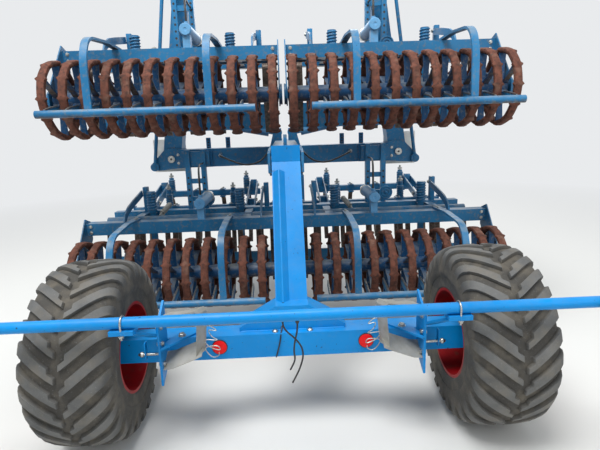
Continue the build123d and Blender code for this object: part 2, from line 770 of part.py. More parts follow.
def module_hose_ports(ring_z):
    """Threaded ports that hold the hose's ends: one on the mast, one on the cylinder."""
    yf, z = y_at(front_beam_station), ring_z + beam_rise
    (x, _, rise), (end_x, end_back, end_rise) = module_hose_route[0], module_hose_route[-1]
    mast_port = rod_y(x, yf - hose_port, yf, z + rise, hose)
    barrel_port = rod_z(end_x, yf - hose_port - end_back, z + end_rise - hose_port - 6, z + end_rise, hose)
    return mast_port, barrel_port


def beam_hose(side):
    """Hose that hangs behind the cross beam, between a port at the spine and one near the wing."""
    y = y_at(cross_beam_station) - cross_beam_size / 2 - hose_port
    z = cross_beam_height
    return cord_tube([(side * x, y - back, z + rise) for x, back, rise in beam_hose_route], hose)


def beam_hose_ports():
    """Ports on the cross beam's rear face for both hoses."""
    y, z = y_at(cross_beam_station) - cross_beam_size / 2, cross_beam_height
    ends = (beam_hose_route[0], beam_hose_route[-1])
    return [rod_y(side * x, y - hose_port, y, z + rise, hose) for side in (-1, 1) for x, _, rise in ends]


# Small fixed pieces

def marker_boards():
    y = y_at(cross_beam_station) + cross_beam_size / 2 + plate
    z = cross_beam_height + 20
    size = 141
    parts = []
    for s in (-1, 1):
        x = s * (wing_pin_x + 60)
        sheet = block(x - size, x + size, y + 30, y + 34, z - size, z + size)
        studs = [rod_y(x + s * shift, y, y + 31, cross_beam_height - 30, 10) for shift in (-30, 70)]
        parts.append(fuse([sheet, *studs]))
    return parts


def write_running_gear():
    save("axle_beam", axle_beam())
    save("gear_column", gear_column())
    save("light_bar", light_bar())
    save("bar_brackets", Compound(children=bar_brackets()))
    for word, cable in zip(("left", "right"), light_cables()):
        save(f"light_cable_{word}", cable)
    for word, side in (("left", -1), ("right", 1)):
        save(f"rim_{word}", wheel_rim(side))
        save(f"tyre_{word}", tyre(side))
    barrel, rod = gear_cylinder()
    save("gear_barrel", barrel)
    save("gear_rod", rod)


def write_frame():
    save("spine", spine())
    save("neck", neck())
    save("cross_beam", cross_beam())
    save("marker_boards", Compound(children=marker_boards()))
    save("parking_stand", parking_stand())
    save("hitch_crossbar", hitch_crossbar())
    for word, side in (("left", -1), ("right", 1)):
        save(f"beam_hose_{word}", beam_hose(side))


def write_wings():
    for word, side in (("left", -1), ("right", 1)):
        save(f"wing_arm_{word}", wing_arm(side))
        save(f"level_link_{word}", level_link(side))
        barrel, rod = fold_cylinder(side)
        save(f"fold_barrel_{word}", barrel)
        save(f"fold_rod_{word}", rod)


def write_modules():
    for level, ring_z in (("inner", inner_ring_height), ("outer", inner_ring_height + module_rise)):
        pieces = {
            "frame": module_frame(ring_z, level == "outer"),
            "roller": ring_roller(ring_z),
            "scraper": scraper_bar(ring_z, -1),
            "tines": Compound(children=tines(ring_z)),
            "board": board(ring_z),
            "cylinder": lift_cylinder(ring_z, -1),
            "hose": module_hose(ring_z),
        }
        for kind, shape in pieces.items():
            right = Pos(module_x, 0, 0) * shape
            save(f"{level}_{kind}_right", right)
            save(f"{level}_{kind}_left", mirror(right, about=Plane.YZ))


write_running_gear()
write_frame()
write_wings()
write_modules()
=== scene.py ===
import json
import math

import bmesh
import bpy
from mathutils import Matrix, Vector


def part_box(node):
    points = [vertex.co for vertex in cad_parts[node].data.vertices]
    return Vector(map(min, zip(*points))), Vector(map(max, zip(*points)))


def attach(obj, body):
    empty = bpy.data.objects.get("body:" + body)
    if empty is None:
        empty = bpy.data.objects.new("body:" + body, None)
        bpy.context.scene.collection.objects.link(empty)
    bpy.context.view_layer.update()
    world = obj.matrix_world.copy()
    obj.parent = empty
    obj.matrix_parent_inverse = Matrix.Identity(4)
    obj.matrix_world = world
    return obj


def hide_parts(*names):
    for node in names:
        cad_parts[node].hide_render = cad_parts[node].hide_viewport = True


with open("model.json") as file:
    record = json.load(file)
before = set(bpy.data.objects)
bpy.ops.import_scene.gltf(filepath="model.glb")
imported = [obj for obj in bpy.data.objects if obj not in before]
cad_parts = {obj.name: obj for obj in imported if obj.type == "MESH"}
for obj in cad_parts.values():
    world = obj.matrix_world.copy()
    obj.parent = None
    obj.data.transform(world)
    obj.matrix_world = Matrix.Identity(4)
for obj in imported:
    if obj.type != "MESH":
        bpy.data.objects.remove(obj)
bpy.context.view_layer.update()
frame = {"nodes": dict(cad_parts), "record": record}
joint_places = {joint["name"]: joint.get("pos_m") for joint in frame["record"]["behaviour"]["joints"]}

# Camera: a phone held 1.47 m above the floor behind the machine, tipped 12 degrees down, turned 1.5 degrees
# aside and rolled 2 degrees. Its place and angles are fitted to the photograph.
photo_width = 600
focal_pixels = 451.0
eye_height = 1.471
eye_behind_axle = 2.077
eye_pitch = 12.35
eye_roll = 1.97
eye_yaw = 1.5
axle_low, axle_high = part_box("axle_beam")
axle_y = joint_places["wheel_spin_left"][1]

camera_data = bpy.data.cameras.new("camera")
camera_data.sensor_width = 36.0
camera_data.lens = focal_pixels * camera_data.sensor_width / photo_width
camera_data.clip_end = 200
camera = bpy.data.objects.new("camera", camera_data)
bpy.context.scene.collection.objects.link(camera)
camera.location = (0.0, axle_y - eye_behind_axle, eye_height)
look = (Matrix.Rotation(math.radians(-eye_yaw), 4, "Z")
        @ Matrix.Rotation(math.radians(90 - eye_pitch), 4, "X")
        @ Matrix.Rotation(math.radians(-eye_roll), 4, "Z"))
camera.rotation_euler = look.to_euler()
bpy.context.scene.camera = camera


# Cables and hoses: two loose cable ends under the light bar, a hose behind each half of the cross
# beam, and one from each module's mast over to its levelling cylinder. All are smooth black rubber.
def linear(hex_colour):
    """sRGB hex colour as linear RGBA."""
    channels = [int(hex_colour[i:i + 2], 16) / 255 for i in (1, 3, 5)]
    return tuple(c / 12.92 if c <= 0.04045 else ((c + 0.055) / 1.055) ** 2.4 for c in channels) + (1.0,)


def add_node(tree, kind, settings=None, links=None):
    """Adds a shader node, sets its properties and input values, and links its inputs."""
    node = tree.nodes.new(kind)
    for name, value in (settings or {}).items():
        if isinstance(name, int) or name in node.inputs:
            node.inputs[name].default_value = value
        else:
            setattr(node, name, value)
    for name, socket in (links or {}).items():
        tree.links.new(socket, node.inputs[name])
    return node


def new_material(name, roughness=0.5, metallic=0.0):
    """Empty material with its output and principled shader."""
    material = bpy.data.materials.new(name)
    material.use_nodes = True
    tree = material.node_tree
    shader = tree.nodes["Principled BSDF"]
    shader.inputs["Roughness"].default_value = roughness
    shader.inputs["Metallic"].default_value = metallic
    return material, tree, shader


def blend_colours(tree, factor, first, second):
    """Mix of two hex colours or colour sockets by a factor socket."""
    mix = add_node(tree, "ShaderNodeMix", {"data_type": "RGBA"})
    tree.links.new(factor, mix.inputs[0])
    for slot, colour in ((6, first), (7, second)):
        if isinstance(colour, str):
            mix.inputs[slot].default_value = linear(colour)
        else:
            tree.links.new(colour, mix.inputs[slot])
    return mix.outputs[2]


def noise_mask(tree, millimetres, low, high, detail=4.0, offset=0.0):
    """Soft-edged patches of about the given size, from black to white between low and high."""
    place = add_node(tree, "ShaderNodeTexCoord")
    moved = add_node(tree, "ShaderNodeMapping", {"Location": (offset, offset * 0.7, offset * 1.3)},
                     {"Vector": place.outputs["Object"]})
    noise = add_node(tree, "ShaderNodeTexNoise", {"Scale": 1000.0 / millimetres, "Detail": detail},
                     {"Vector": moved.outputs[0]})
    ramp = add_node(tree, "ShaderNodeMapRange", {"From Min": low, "From Max": high},
                    {"Value": noise.outputs["Fac"]})
    return ramp.outputs[0]


def add_bump(tree, shader, height, strength, depth_mm):
    """Raises the surface by a height socket, up to the given depth."""
    bump = add_node(tree, "ShaderNodeBump", {"Strength": strength, "Distance": depth_mm / 1000},
                    {"Height": height})
    tree.links.new(bump.outputs[0], shader.inputs["Normal"])


def link_piece(piece, body, replaced=()):
    """Puts a new piece in the scene on the body it moves with."""
    bpy.context.scene.collection.objects.link(piece)
    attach(piece, body)
    if replaced:
        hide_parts(*replaced)
    return piece


def hose_rubber():
    """Extruded synthetic rubber: smooth and near black, with a soft shine, greyed where it rubs."""
    material, tree, shader = new_material("black hose rubber", 0.42)
    scuffs = noise_mask(tree, 30, 0.45, 0.8, 5.0)
    colour = blend_colours(tree, scuffs, "#131416", "#3a3a38")
    tree.links.new(colour, shader.inputs["Base Color"])
    add_bump(tree, shader, noise_mask(tree, 2, 0.3, 0.7), 0.15, 0.2)
    return material


black_rubber = hose_rubber()


def add_tube(name, points, radius, material, order=3):
    """A round bar or tube along a smooth line through space."""
    curve = bpy.data.curves.new(name, "CURVE")
    curve.dimensions = "3D"
    curve.bevel_depth = radius
    curve.bevel_resolution = 4
    curve.use_fill_caps = True
    spline = curve.splines.new("NURBS")
    spline.points.add(len(points) - 1)
    for point, place in zip(spline.points, points):
        point.co = (*place, 1.0)
    spline.order_u = order
    spline.use_endpoint_u = True
    spline.resolution_u = 8
    curve.materials.append(material)
    return bpy.data.objects.new(name, curve)


def add_cord(node, body, points, diameter):
    """A cable or hose that stands for its CAD node."""
    skin = add_tube(node + "_skin", points, diameter / 2, black_rubber)
    cord = link_piece(skin, body, (node,))


cable_diameter = 0.007
hose_diameter = 0.015
bar_low, bar_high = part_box("light_bar")
bar_radius = 0.023
bar_y = bar_high[1] - bar_radius
bar_z = (bar_low[2] + bar_high[2]) / 2
gland_z = bar_z - bar_radius - 0.006
# Points of each cable: across, ahead, drop below the gland's face.
cable_routes = {
    "left": ((-0.038, 0.009, 0), (-0.038, 0.009, 0.020), (-0.022, 0.008, 0.044), (0, 0.007, 0.064),
             (0.022, 0.005, 0.088), (0.037, 0.004, 0.118), (0.038, 0.002, 0.152), (0.028, 0.002, 0.188),
             (0.013, 0.003, 0.224), (-0.008, 0.004, 0.264)),
    "right": ((0.019, -0.009, 0), (0.019, -0.009, 0.026), (0.012, -0.010, 0.056), (0.004, -0.012, 0.090),
              (0.002, -0.012, 0.124), (0.006, -0.010, 0.152), (-0.002, -0.008, 0.176),
              (-0.015, -0.006, 0.200)),
}
for side, length in (("left", 0.299), ("right", 0.206)):
    route = [(x, bar_y + ahead, gland_z - drop) for x, ahead, drop in cable_routes[side]]
    add_cord(f"light_cable_{side}", "running_gear", route, cable_diameter)

# Points of the hoses: across, back from the port's face, above the beam's centre.
beam_hose_route = ((0.130, 0, 0.055), (0.130, 0.050, 0.055), (0.142, 0.098, 0.040), (0.165, 0.130, 0.008),
                   (0.200, 0.148, -0.024), (0.250, 0.154, -0.048), (0.310, 0.158, -0.058),
                   (0.370, 0.158, -0.048), (0.432, 0.154, -0.024), (0.490, 0.138, 0), (0.530, 0.100, 0.014),
                   (0.550, 0.050, 0.018), (0.550, 0, 0.018))
module_hose_route = ((-0.065, 0, 0.418), (-0.065, 0.070, 0.418), (-0.070, 0.150, 0.422),
                     (-0.078, 0.236, 0.416), (-0.088, 0.312, 0.400), (-0.098, 0.374, 0.372),
                     (-0.106, 0.418, 0.330), (-0.110, 0.440, 0.276), (-0.110, 0.440, 0.220))
hose_port = 0.018
cross_y, cross_z = joint_places["wing_fold_left"][1:]
cross_half = 0.075
cross_rear = cross_y - cross_half
mast_y = 0.435
beam_rise = 0.292
module_x = joint_places["inner_roller_spin_right"][0]
sides = (("left", -1), ("right", 1))
module_bodies = {"inner": {"left": "chassis", "right": "chassis"},
                 "outer": {"left": "module_left", "right": "module_right"}}
for side, sign in sides:
    route = [(sign * x, cross_rear - hose_port - back, cross_z + rise) for x, back, rise in beam_hose_route]
    add_cord(f"beam_hose_{side}", "chassis", route, hose_diameter)
    for level in ("inner", "outer"):
        ring_z = joint_places[f"{level}_roller_spin_{side}"][2]
        route = [(sign * (module_x + x), mast_y - hose_port - back, ring_z + beam_rise + rise)
                 for x, back, rise in module_hose_route]
        add_cord(f"{level}_hose_{side}", module_bodies[level][side], route, hose_diameter)


# Studio: a pale floor with a matching backdrop colour, three large soft lamps and an even sky.
# The backdrop's brightness comes from its colour as the camera sees it.
backdrop_colour = "#e9ebed"


def times(tree, first, second):
    """Product of two sockets, or of a socket and a number."""
    if isinstance(second, float):
        return add_node(tree, "ShaderNodeMath", {"operation": "MULTIPLY", 1: second}, {0: first}).outputs[0]
    return add_node(tree, "ShaderNodeMath", {"operation": "MULTIPLY"}, {0: first, 1: second}).outputs[0]


def seen_rays(tree):
    """White for what the camera sees, straight or mirrored in metal."""
    rays = add_node(tree, "ShaderNodeLightPath")
    return add_node(tree, "ShaderNodeMath", {"operation": "MAXIMUM"},
                    {0: rays.outputs["Is Camera Ray"], 1: rays.outputs["Is Glossy Ray"]}).outputs[0]


def pale_floor(near_metres, far_metres):
    """Matt floor that turns into the backdrop's colour with distance, as the camera sees it."""
    material, tree, shader = new_material("pale matt floor", 0.9)
    shader.inputs["Base Color"].default_value = linear("#d9d9d6")
    place = add_node(tree, "ShaderNodeTexCoord")
    distance = add_node(tree, "ShaderNodeVectorMath", {"operation": "LENGTH"}, {0: place.outputs["Object"]})
    far = add_node(tree, "ShaderNodeMapRange", {"From Min": near_metres, "From Max": far_metres},
                   {"Value": distance.outputs["Value"]})
    glow = add_node(tree, "ShaderNodeEmission", {"Color": linear(backdrop_colour), "Strength": 1.0})
    mix = add_node(tree, "ShaderNodeMixShader", {}, {"Fac": times(tree, far.outputs[0], seen_rays(tree))})
    tree.links.new(shader.outputs[0], mix.inputs[1])
    tree.links.new(glow.outputs[0], mix.inputs[2])
    tree.links.new(mix.outputs[0], tree.nodes["Material Output"].inputs["Surface"])
    return material


floor_mesh = bpy.data.meshes.new("floor")
floor_half = 40.0
floor_corners = [(x * floor_half, y * floor_half, 0) for x, y in ((-1, -1), (1, -1), (1, 1), (-1, 1))]
floor_mesh.from_pydata(floor_corners, [], [(0, 1, 2, 3)])
floor = bpy.data.objects.new("floor", floor_mesh)
bpy.context.scene.collection.objects.link(floor)
floor.data.materials.append(pale_floor(3.0, 9.0))

world = bpy.data.worlds.new("studio")
bpy.context.scene.world = world
world.use_nodes = True
sky_tree = world.node_tree
background = sky_tree.nodes["Background"]
background.inputs["Color"].default_value = linear("#e8ecf0")
background.inputs["Strength"].default_value = 0.62
plain = add_node(sky_tree, "ShaderNodeBackground", {"Color": linear(backdrop_colour), "Strength": 1.0})
shown = add_node(sky_tree, "ShaderNodeMixShader", {}, {"Fac": seen_rays(sky_tree)})
sky_tree.links.new(background.outputs[0], shown.inputs[1])
sky_tree.links.new(plain.outputs[0], shown.inputs[2])
sky_tree.links.new(shown.outputs[0], sky_tree.nodes["World Output"].inputs["Surface"])


def area_light(name, place, target, size, power):
    """A square lamp that faces its target."""
    data = bpy.data.lights.new(name, "AREA")
    data.size = size
    data.energy = power
    lamp = bpy.data.objects.new(name, data)
    bpy.context.scene.collection.objects.link(lamp)
    lamp.location = place
    lamp.rotation_euler = (Vector(target) - Vector(place)).to_track_quat("-Z", "Y").to_euler()


area_light("key", (-1.5, -3.2, 8.0), (0, -0.4, 0.8), 4.0, 720)
area_light("fill", (4.5, -6.0, 3.5), (0, 0, 1.2), 5.0, 110)
area_light("front", (1.5, 7.5, 6.0), (0, 0.5, 1.2), 5.0, 260)
bpy.context.scene.view_settings.view_transform = "Standard"


# Wheels: flotation tyres whose long curved lugs run in from both shoulders to stepped blunt noses, one
# side half a pitch behind the other. The rubber is worn grey with dried soil, and the rims are red enamel.
def add_skin(bm, rows, finish=0, wrap_rows=False):
    """Faces between rows of points, each row a closed loop. Returns the rows of vertices."""
    grid = [[bm.verts.new(point) for point in row] for row in rows]
    pairs = list(zip(grid, grid[1:] + grid[:1])) if wrap_rows else list(zip(grid, grid[1:]))
    for low, high in pairs:
        for i in range(len(low)):
            k = (i + 1) % len(low)
            face = bm.faces.new((low[i], low[k], high[k], high[i]))
            face.material_index = finish
            face.smooth = True
    return grid


def mesh_piece(name, bm, materials, body, replaced=(), sharp_degrees=35):
    """Turns the finished mesh into a piece with sharp edges above the given angle."""
    bmesh.ops.recalc_face_normals(bm, faces=bm.faces)
    mesh = bpy.data.meshes.new(name)
    bm.to_mesh(mesh)
    bm.free()
    for material in materials:
        mesh.materials.append(material)
    mesh.set_sharp_from_angle(angle=math.radians(sharp_degrees))
    link_piece(bpy.data.objects.new(name, mesh), body, replaced)


def worn_rubber():
    """Moulded tyre rubber: matt and rough, rubbed grey on the lugs and darker between them as painted shade,
    with dried soil and pale scrapes.
    """
    material, tree, shader = new_material("worn grey tyre rubber", 0.82)
    lug = add_node(tree, "ShaderNodeAttribute", {"attribute_name": "lug"}).outputs["Fac"]
    rubbed = blend_colours(tree, noise_mask(tree, 120, 0.3, 0.7, 6.0), "#4d4e4e", "#6b6b69")
    # The rubber is darker brown where the lugs are low, as painted shade in the grooves; the grey lug tops
    # are rubbed.
    colour = blend_colours(tree, lug, "#403e3a", rubbed)
    soil = times(tree, noise_mask(tree, 70, 0.45, 0.72, 9.0, 5.0), 0.5)
    colour = blend_colours(tree, soil, colour, "#746c5e")
    scrapes = noise_mask(tree, 7, 0.6, 0.8, 6.0, 2.0)
    colour = blend_colours(tree, times(tree, scrapes, 0.5), colour, "#7f8080")
    tree.links.new(colour, shader.inputs["Base Color"])
    add_bump(tree, shader, noise_mask(tree, 5, 0.25, 0.8, 8.0), 0.45, 1.2)
    return material


tyre_rubber = worn_rubber()
lug_count = 26
lug_depth = 0.018
lug_sweep = 0.36
tyre_half = 0.1875
# Half section from the middle: across, radius at the grooves, height of noses and of whole lugs.
tyre_section = (
    (0, 0.419, 0, 0), (0.006, 0.419, 0, 0), (0.010, 0.419, 1, 0), (0.030, 0.4187, 1, 0),
    (0.035, 0.4185, 1, 1), (0.060, 0.4175, 1, 1), (0.090, 0.415, 1, 1), (0.120, 0.410, 1, 1),
    (0.145, 0.402, 1, 1),
    (0.161, 0.390, 0.9, 0.9), (0.172, 0.374, 0.65, 0.65), (0.179, 0.353, 0.3, 0.3), (0.183, 0.334, 0, 0),
    (0.1865, 0.306, 0, 0), (0.185, 0.288, 0, 0), (0.182, 0.281, 0, 0), (0.179, 0.279, 0, 0),
    (0.176, 0.252, 0, 0), (0.1775, 0.240, 0, 0), (0.1765, 0.226, 0, 0), (0.172, 0.220, 0, 0),
    (0.155, 0.216, 0, 0))
# Shares of one pitch: where a lug and its nose end, how wide a flank is, and where the rubber is cut.
lug_end = 0.54
nose_end = 0.32
flank_wide = 0.04
pitch_places = (0, 0.04, 0.16, 0.28, 0.32, 0.41, 0.50, 0.54, 0.66, 0.78, 0.82, 0.91)


def lug_height(place, nose, whole):
    """Share of the lug depth at a place within the pitch."""
    def flank(end):
        return max(0.0, min(1.0, place / flank_wide, (end - place) / flank_wide))
    return nose * flank(nose_end) + whole * (flank(lug_end) - flank(nose_end))


def section_normals():
    """Outward directions of the half section, from each point's neighbours."""
    normals = [(0.0, 1.0)]
    for (x0, r0, *_), (x1, r1, *_) in zip(tyre_section, tyre_section[2:] + tyre_section[-1:]):
        size = math.hypot(x1 - x0, r0 - r1) or 1.0
        normals.append(((r0 - r1) / size, (x1 - x0) / size))
    return normals


def add_tyre(side):
    """A whole tyre with its lugs, and their height stored for the rubber's colour."""
    centre = Vector(joint_places[f"wheel_spin_{side}"])
    bm = bmesh.new()
    lug_layer = bm.verts.layers.float.new("lug")
    normals = section_normals()
    rows, heights = [], []
    half_rows = [(1, i) for i in range(len(tyre_section) - 1, 0, -1)]
    half_rows += [(-1, i) for i in range(len(tyre_section))]
    for half, i in half_rows:
        across, radius, nose, whole = tyre_section[i]
        shift = 0.0 if half > 0 else 0.5
        row, row_heights = [], []
        for column in range(lug_count * len(pitch_places)):
            pitch, place = divmod(column, len(pitch_places))
            share = lug_height((pitch_places[place] + shift) % 1.0, nose, whole)
            angle = math.tau * (pitch + pitch_places[place]) / lug_count
            angle += lug_sweep * (across / tyre_half) ** 1.15
            r = radius + share * lug_depth * normals[i][1]
            x = half * (across + share * lug_depth * normals[i][0])
            row.append(centre + Vector((x, -r * math.cos(angle), r * math.sin(angle))))
            row_heights.append(share)
        rows.append(row)
        heights.append(row_heights)
    for vertices, values in zip(add_skin(bm, rows, wrap_rows=True), heights):
        for vertex, value in zip(vertices, values):
            vertex[lug_layer] = value
    mesh_piece(f"tread_{side}", bm, [tyre_rubber], f"wheel_{side}", (f"tyre_{side}",), 28)


for side, _ in sides:
    add_tyre(side)


def finish_node(node, material):
    """Gives a CAD node its finish in every slot it has."""
    slots = frame["nodes"][node].data.materials
    if not slots:
        slots.append(material)
    for i in range(len(slots)):
        slots[i] = material


def red_enamel():
    """Sprayed enamel on pressed steel: deep red, weathered nearly matt, with splashed mud."""
    material, tree, shader = new_material("deep red enamel on rims", 0.5)
    shader.inputs["Specular IOR Level"].default_value = 0.25
    worn = noise_mask(tree, 90, 0.35, 0.7)
    paint = blend_colours(tree, worn, "#a31217", "#7d0d13")
    mud = noise_mask(tree, 40, 0.55, 0.75, 7.0, 3.0)
    paint = blend_colours(tree, times(tree, mud, 0.5), paint, "#5a4334")
    tree.links.new(paint, shader.inputs["Base Color"])
    add_bump(tree, shader, noise_mask(tree, 8, 0.3, 0.8, 5.0), 0.1, 0.5)
    return material


rim_paint = red_enamel()
for side, _ in sides:
    finish_node(f"rim_{side}", rim_paint)


# Frame paint: blue enamel on welded steel, bright on the running gear and dull on the modules.
# Dust lies on the upper faces, soil and painted shade darken the undersides of the beams, and stone chips
# show dark primer.
def upward_mask(tree, low, high):
    """White where the surface faces the sky, for settled dust; over a downward range it is white on faces
    turned to the ground, for soil and painted shade below.
    """
    facing = add_node(tree, "ShaderNodeNewGeometry")
    split = add_node(tree, "ShaderNodeSeparateXYZ", {}, {"Vector": facing.outputs["Normal"]})
    ramp = add_node(tree, "ShaderNodeMapRange", {"From Min": low, "From Max": high},
                    {"Value": split.outputs["Z"]})
    return ramp.outputs[0]


def blue_enamel(name, base, deep, dust_amount, dirt_and_shade_amount):
    """Sprayed enamel: smooth with a faint coat, faded in patches, dusty above, and dark brown in patches
    below from soil and painted shade.
    """
    material, tree, shader = new_material(name, 0.38)
    shader.inputs["Specular IOR Level"].default_value = 0.2
    shader.inputs["Coat Weight"].default_value = 0.06
    shader.inputs["Coat Roughness"].default_value = 0.3
    fade = noise_mask(tree, 420, 0.35, 0.7, offset=3.1)
    paint = blend_colours(tree, fade, base, deep)
    dusty = times(tree, upward_mask(tree, 0.2, 0.95), noise_mask(tree, 60, 0.35, 0.75, 6.0, offset=7.7))
    paint = blend_colours(tree, times(tree, dusty, dust_amount), paint, "#9a9c94")
    # Downward faces darken to brown in patches: soil under the beams, and painted shade.
    under = times(tree, upward_mask(tree, -0.3, -0.9), noise_mask(tree, 45, 0.3, 0.55, 6.0, offset=1.9))
    paint = blend_colours(tree, times(tree, under, dirt_and_shade_amount), paint, "#4a3a2c")
    splash = noise_mask(tree, 22, 0.52, 0.72, 8.0, offset=4.4)
    paint = blend_colours(tree, times(tree, splash, dirt_and_shade_amount * 0.6), paint, "#77756b")
    chips = noise_mask(tree, 14, 0.70, 0.73, 5.0, offset=11.0)
    paint = blend_colours(tree, chips, paint, "#27303a")
    tree.links.new(paint, shader.inputs["Base Color"])
    add_bump(tree, shader, noise_mask(tree, 9, 0.2, 0.8, 5.0), 0.12, 0.6)
    return material


frame_paint = blue_enamel("blue enamel on welded steel", "#0287cf", "#0376b9", 0.12, 0.12)
for node in ("axle_beam", "gear_column", "light_bar", "bar_brackets"):
    finish_node(node, frame_paint)
module_paint = blue_enamel("dusty blue enamel", "#2c78a8", "#205f88", 0.75, 0.95)
module_nodes = ["spine", "neck", "cross_beam", "hitch_crossbar"]
for side, _ in sides:
    module_nodes += [f"wing_arm_{side}", f"level_link_{side}"]
    for level in ("inner", "outer"):
        module_nodes += [f"{level}_{kind}_{side}" for kind in ("frame", "scraper", "board")]
for node in module_nodes:
    finish_node(node, module_paint)
cylinder_paint = blue_enamel("light blue enamel on tube", "#6aa3cd", "#5590bd", 0.5, 0.5)


# Bare metals and sheets: chromed rods, galvanised leg and holders, dark spring steel tines, zinc-plated
# bolts and wire, and white sheet marker boards.
def bright_metal(name, bright, dull, patch_mm, roughness, metallic=1.0):
    """Plated, dipped or enamelled steel: two close shades in patches, uneven in shine."""
    material, tree, shader = new_material(name, roughness, metallic)
    patches = noise_mask(tree, patch_mm, 0.35, 0.65, 5.0)
    tree.links.new(blend_colours(tree, patches, bright, dull), shader.inputs["Base Color"])
    rough = add_node(tree, "ShaderNodeMapRange", {"To Min": roughness * 0.7, "To Max": roughness * 1.4},
                     {"Value": noise_mask(tree, patch_mm * 2.5, 0.3, 0.7, offset=6.0)})
    tree.links.new(rough.outputs[0], shader.inputs["Roughness"])
    add_bump(tree, shader, patches, 0.05, 0.2)
    return material


rod_chrome = bright_metal("hard chrome on steel rod", "#d6dadd", "#aeb4b9", 25, 0.16)
galvanised = bright_metal("galvanised steel sheet", "#a5a49e", "#98978f", 40, 0.5, 0.45)
zinc_plate = bright_metal("zinc-plated bolt steel", "#c6c8c6", "#8a8a84", 5, 0.35)
tine_steel = bright_metal("dark spring steel", "#4a3f38", "#6d6158", 18, 0.48, 0.6)
board_sheet = bright_metal("white enamelled sheet", "#f1efe8", "#dedacf", 60, 0.45, 0.0)
finish_node("parking_stand", galvanised)
finish_node("marker_boards", board_sheet)
for node in frame["nodes"]:
    if "barrel" in node or "_cylinder_" in node:
        finish_node(node, cylinder_paint)
    if node.startswith("fold_rod") or node == "gear_rod":
        finish_node(node, rod_chrome)
    if "_tines_" in node:
        finish_node(node, tine_steel)


# Ring rollers: twelve cast rings on one tube, each cast in twelve short arcs with a pointed nib on
# both flanks at every joint. They are rust brown. Spokes and tube keep their blue paint, drawn dark blue as
# painted shade inside the rings.
def rusty_casting():
    """Sand-cast iron: rough and matt, brown with dark scale and dried soil."""
    material, tree, shader = new_material("rust-brown cast iron", 0.85, 0.15)
    rust = blend_colours(tree, noise_mask(tree, 35, 0.3, 0.7, 7.0), "#4d2c21", "#744535")
    dark = noise_mask(tree, 18, 0.5, 0.7, 8.0, 9.0)
    rust = blend_colours(tree, times(tree, dark, 0.75), rust, "#2f201b")
    soil = noise_mask(tree, 60, 0.56, 0.72, 7.0, 4.0)
    rust = blend_colours(tree, times(tree, soil, 0.55), rust, "#85695a")
    tree.links.new(rust, shader.inputs["Base Color"])
    add_bump(tree, shader, noise_mask(tree, 5, 0.2, 0.8, 6.0), 0.3, 0.8)
    return material


cast_rust = rusty_casting()
# Spokes and tube: their blue paint is darkened as painted shade inside the rings, under dried soil and dust.
spoke_paint = blue_enamel("dark blue enamel under dried soil", "#1e4f7c", "#163c60", 0.8, 1.0)
ring_count = 12
ring_pitch = 0.125
ring_radius = 0.25
arcs_per_ring = 12
spokes_per_ring = 6
roller_tube = 0.05
shaft_end = 0.742
shaft_radius = 0.024
# Half section of a ring: across, radius below the crest, how much a nib pushes it out.
half_ring = ((0.016, -0.036, 0), (0.023, -0.030, 0.3), (0.026, -0.018, 1), (0.022, -0.007, 1),
             (0.011, -0.001, 0.3))
ring_section = [(-across, drop, push) for across, drop, push in half_ring] + list(half_ring[::-1])
# Steps along an arc: degrees from its joint, share of the nib, and sag below the full radius.
arc_steps = ((0, 1, 0), (3.2, 0, 0.0015), (8, 0, 0.003), (15, 0, 0.0035), (22, 0, 0.003), (26.8, 0, 0.0015))
nib_reach = 0.012


def add_ring(bm, x, centre):
    """One cast ring, as arcs that sag a little between their joints."""
    rows = []
    for arc in range(arcs_per_ring):
        for degrees, nib, sag in arc_steps:
            angle = math.radians(arc * 360 / arcs_per_ring + degrees)
            row = []
            for across, drop, push in ring_section:
                wide = across + math.copysign(nib * push * nib_reach, across)
                radius = ring_radius - sag + drop
                row.append(centre + Vector((x + wide, radius * math.cos(angle), radius * math.sin(angle))))
            rows.append(row)
    add_skin(bm, rows, wrap_rows=True)


def add_spoke(bm, x, centre, angle):
    """A flat cast spoke that widens towards the ring."""
    out = Vector((0, math.cos(angle), math.sin(angle)))
    side = Vector((0, -math.sin(angle), math.cos(angle)))
    corners = ((-1, -1), (1, -1), (1, 1), (-1, 1))
    rows = []
    for reach, half_wide, half_thick in ((0.046, 0.020, 0.006), (0.12, 0.017, 0.005), (0.216, 0.023, 0.006)):
        rows.append([centre + Vector((x + a * half_wide, 0, 0)) + out * reach + side * b * half_thick
                     for a, b in corners])
    add_skin(bm, rows, 1)


def add_capped(bm, rows, finish=0):
    """A skin closed by a flat face at each end."""
    grid = add_skin(bm, rows, finish)
    for ring in (grid[0][::-1], grid[-1]):
        bm.faces.new(ring).material_index = finish


def add_turned(bm, profile, centre, axis, facets=24, finish=0):
    """A turned solid: profile points are distance along the axis and radius."""
    turn = Vector(axis).to_track_quat("Z", "Y")
    rows = []
    for along, radius in profile:
        angles = [math.tau * i / facets for i in range(facets)]
        ring = [Vector((radius * math.cos(angle), radius * math.sin(angle), along)) for angle in angles]
        rows.append([Vector(centre) + turn @ point for point in ring])
    add_capped(bm, rows, finish)


for side, sign in sides:
    for level in ("inner", "outer"):
        _, roller_y, roller_z = joint_places[f"{level}_roller_spin_{side}"]
        centre = Vector((sign * module_x, roller_y, roller_z))
        bm = bmesh.new()
        for i in range(ring_count):
            x = (i - (ring_count - 1) / 2) * ring_pitch
            add_ring(bm, x, centre)
            for k in range(spokes_per_ring):
                add_spoke(bm, x, centre, math.tau * (k + 0.5) / spokes_per_ring)
        tube_half = (ring_count - 1) * ring_pitch / 2 + 0.03
        far_end = [(tube_half - 0.003, roller_tube), (tube_half, 0.047), (tube_half + 0.004, shaft_radius),
                   (shaft_end, shaft_radius)]
        tube = [(-along, radius) for along, radius in far_end[::-1]] + far_end
        add_turned(bm, tube, centre, (1, 0, 0), 24, 1)
        mesh_piece(f"{level}_ring_castings_{side}", bm, [cast_rust, spoke_paint],
                   f"{level}_ring_roller_{side}", (f"{level}_roller_{side}",), 40)


